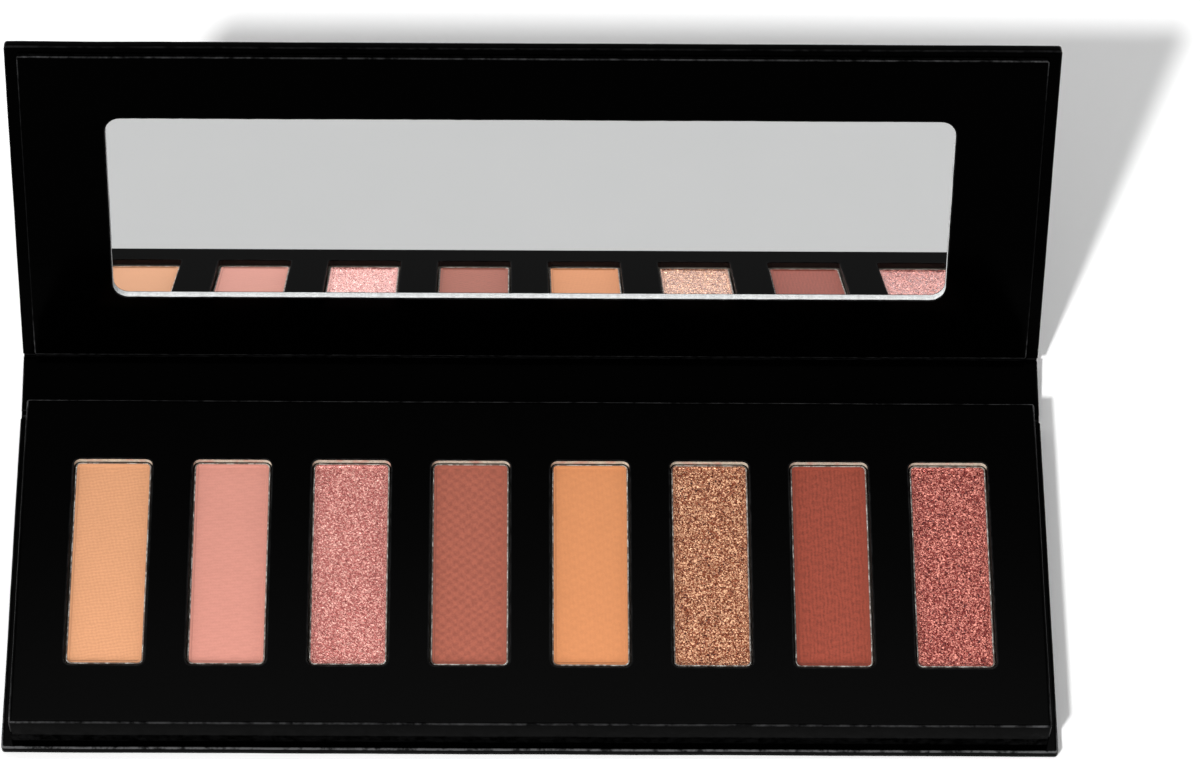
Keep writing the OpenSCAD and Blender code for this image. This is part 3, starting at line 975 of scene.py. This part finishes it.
def cake_faces(nx, ny, rng):
    """Quads of a grid, or triangles split at random for flakes."""
    faces = []
    for j in range(ny - 1):
        for i in range(nx - 1):
            a = j * nx + i
            quad = (a, a + 1, a + nx + 1, a + nx)
            if rng is None:
                faces.append(quad)
            elif rng.random() < 0.5:
                faces += [(quad[0], quad[1], quad[2]), (quad[0], quad[2], quad[3])]
            else:
                faces += [(quad[0], quad[1], quad[3]), (quad[1], quad[2], quad[3])]
    return faces


def border_loop(nx, ny):
    """The grid's border points, counter-clockwise from the first corner."""
    bottom = list(range(nx))
    right = [j * nx + nx - 1 for j in range(1, ny)]
    top = [(ny - 1) * nx + i for i in reversed(range(nx - 1))]
    left = [j * nx for j in reversed(range(1, ny - 1))]
    return bottom + right + top + left


# ---------------------------------------------------------------- stage, light, camera
def build_floor():
    """A flat pale floor with painted shade: it fades to light grey in front of the object, for the mirror to
    reflect.
    """
    bm = bmesh.new()
    bmesh.ops.create_grid(bm, x_segments=1, y_segments=1, size=FLOOR_HALF)
    bm.transform(Matrix.Translation((0, 0, -FLOOR_DROP)))
    mat, tree, bsdf = new_material("studio_floor")
    axes = node(tree, "ShaderNodeSeparateXYZ", {"Vector": coords(tree)})
    front = REAR_FOLD.y - COVER_D - FLOOR_START
    ahead = maths(tree, "MULTIPLY_ADD", axes.outputs["Y"], -1 / FLOOR_FADE, front / FLOOR_FADE)
    # Painted shade: white near the object, grey further in front.
    tone = ramp(tree, ahead, [(0.0, FLOOR_WHITE), (1.0, FLOOR_SHADE_GREY)], "EASE")
    shade(tree, bsdf, Base_Color=tone, Roughness=0.95, Specular_IOR_Level=0.0)
    floor = finish_mesh(bm, "studio_floor", None, mat)


def build_dome():
    """A soft studio all round, darker low in front, with a brighter panel high behind the palette."""
    world = bpy.data.worlds.new("studio")
    bpy.context.scene.world = world
    world.use_nodes = True
    tree = world.node_tree
    direction = node(tree, "ShaderNodeTexCoord").outputs["Generated"]
    center = (0, math.cos(PANEL_AT), math.sin(PANEL_AT))
    flat = node(tree, "ShaderNodeVectorMath", {0: direction, 1: (0.3, 1, 1)}, operation="MULTIPLY")
    away = node(tree, "ShaderNodeVectorMath", {0: flat.outputs[0], 1: center}, operation="DISTANCE")
    panel = ramp(tree, away.outputs["Value"], [(0.6 * PANEL_SIZE, PANEL_GLOW), (PANEL_SIZE, DOME)])
    axes = node(tree, "ShaderNodeSeparateXYZ", {"Vector": direction})
    lift = maths(tree, "MULTIPLY_ADD", axes.outputs["Y"], 0.45, 0.45)
    front = ramp(tree, maths(tree, "ADD", axes.outputs["Z"], lift), [(0.25, FRONT_SHADE), (0.5, 1.0)])
    tree.links.new(panel, tree.nodes["Background"].inputs["Color"])
    tree.links.new(front, tree.nodes["Background"].inputs["Strength"])


def add_light(kind, name, energy, direction, place, **props):
    light = bpy.data.lights.new(name, kind)
    light.energy = energy
    for key, value in props.items():
        setattr(light, key, value)
    obj = bpy.data.objects.new(name, light)
    obj.rotation_euler = direction.to_track_quat("-Z", "Y").to_euler()
    obj.location = place
    bpy.context.scene.collection.objects.link(obj)
    return obj


def build_lights(powders):
    """The key light from the front left, and a low fill that reaches the powders alone."""
    add_light("SUN", "key_sun", SUN_POWER, SUN_TRAVEL, -SUN_TRAVEL, angle=SUN_SIZE)
    fill = add_light("AREA", "front_fill", FILL_POWER, FILL_AIM - FILL_PLACE, FILL_PLACE,
                     shape="RECTANGLE", size=FILL_WIDTH, size_y=FILL_HEIGHT)
    receivers = bpy.data.collections.new("powders")
    for powder in powders:
        receivers.objects.link(powder)
    fill.light_linking.receiver_collection = receivers


def build_camera():
    """The photograph's viewing angle, with its slight turn, roll and sideways shift."""
    data = bpy.data.cameras.new("camera")
    data.sensor_fit = "HORIZONTAL"
    data.sensor_width = SENSOR
    data.lens = SENSOR * FOCAL_WIDTHS
    data.shift_x = CAM_SHIFT_X
    data.clip_start, data.clip_end = 0.05, 50
    camera = bpy.data.objects.new("camera", data)
    level = math.cos(CAM_ELEVATION)
    away = Vector((-math.sin(CAM_YAW) * level, -math.cos(CAM_YAW) * level, math.sin(CAM_ELEVATION)))
    right = (-away).cross(Vector((0, 0, 1))).normalized()
    up = right.cross(-away)
    c, s = math.cos(CAM_ROLL), math.sin(CAM_ROLL)
    axes = Matrix((c * right + s * up, c * up - s * right, away)).transposed().to_4x4()
    camera.matrix_world = Matrix.Translation(CAM_TARGET + away * CAM_DISTANCE) @ axes
    bpy.context.scene.collection.objects.link(camera)
    bpy.context.scene.camera = camera


def dress(slot, *names):
    """Gives CAD nodes that keep their shape a finished material."""
    for name in names:
        materials = frame["nodes"][name].data.materials
        materials.clear()
        materials.append(MATERIALS[slot])


# ---------------------------------------------------------------- the scene
build_camera()
# The edge mark of wear and painted highlight is strong on the base and faint on the lid.
cover_paper("base_cover_paper", "base", BASE, "base_wrap", wear_and_edge_light=1.6)
cover_paper("lid_cover_paper", "lid", LID, "lid_wrap", wear_and_edge_light=0.07)
spine_paper()
cover_lining("base_lining_paper", "base", BASE, "base_lining")
cover_lining("lid_lining_paper", "lid", LID, "lid_lining")
spine_lining()
for cover, place in (("base", BASE), ("lid", LID)):
    tucked_corners(cover, cover, place, [False], BOARD_START - 0.75 * PAPER, COVER_T + LIFT)
tucked_corners("spine", "spine", SPINE, [False, True], SPINE_START - 0.75 * PAPER, SPINE_WRAP_T + LIFT)
build_folds()
for number, pan_node in enumerate(PAN_NODES, 1):
    build_pan(pan_node, number)
POWDERS = [build_cake(cake_node, number) for number, cake_node in enumerate(CAKE_NODES, 1)]
TRAY_HOLES = hole_outlines("tray_top_card", BASE, WINDOW_R, WINDOW_STEP)
framed_paper("tray_paper", "tray_wrap", "base", BASE, TRAY_HOLES, EDGE_R)
MIRROR_HOLES = hole_outlines("mirror_frame_card", LID, MIRROR_R, MIRROR_STEP)
framed_paper("mirror_frame_paper", "mirror_frame_wrap", "lid", LID, MIRROR_HOLES, FRAME_EDGE_R)
dress("greyboard", "base_board", "tray_floor_board", "tray_core", "spine_board", "lid_board")
dress("card_core", "tray_top_card")
dress("white_core", "mirror_frame_card")
dress("magnet", "tray_magnets", "lid_magnets")
dress("mirror", "mirror_glass")
dress("mirror_paint", "mirror_backing")
dress("tape", "mirror_tape")
dress("glue", "pan_glue_dots")
build_floor()
build_dome()
build_lights(POWDERS)
bpy.context.scene.view_settings.view_transform = "Standard"
